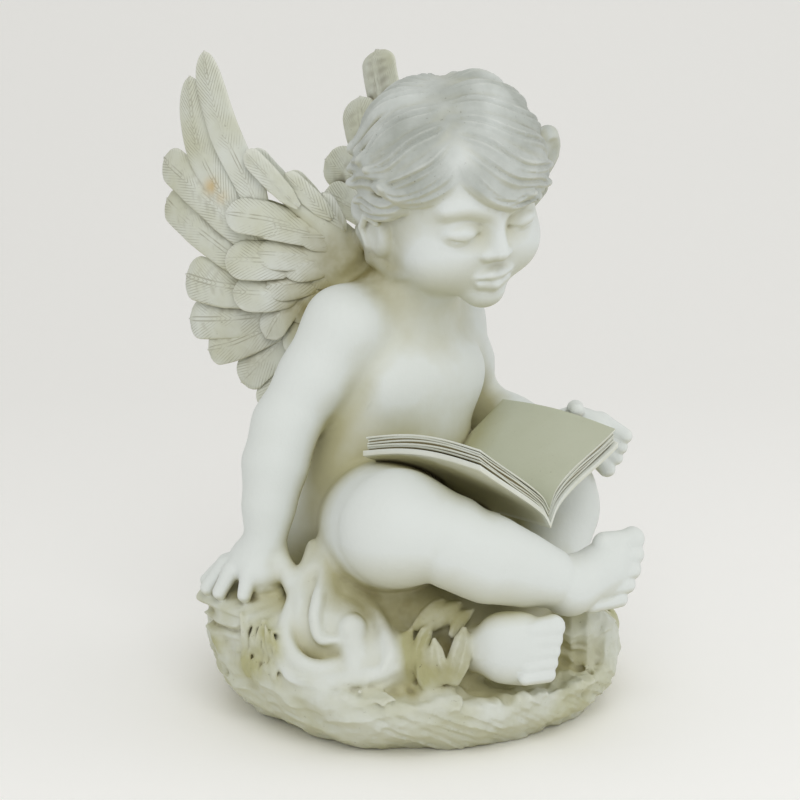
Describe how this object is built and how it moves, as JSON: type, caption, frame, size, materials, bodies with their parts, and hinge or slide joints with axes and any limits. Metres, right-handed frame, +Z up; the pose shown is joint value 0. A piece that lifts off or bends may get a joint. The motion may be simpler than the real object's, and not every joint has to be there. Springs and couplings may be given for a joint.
{
  "type": "seated cherub statue",
  "caption": "Winged child seated on a rock mound, reading an open book held on its lap, one hand resting behind; cast in one piece for a garden or shelf.",
  "frame": {"origin": "middle of the flat underside of the rock, in the plane that the statue stands on", "axes": "+Z up; the child's lap and book face -Y, its back and wings +Y, and its left hand is on the +X side"},
  "size_m": [0.2861, 0.3142, 0.4201],
  "materials": {
    "stone": "ivory cast composite, dull, with an olive brown wash in the recesses"
  },
  "bodies": {
    "root": {"cherub_statue": "stone"}
  },
  "joints": []
}
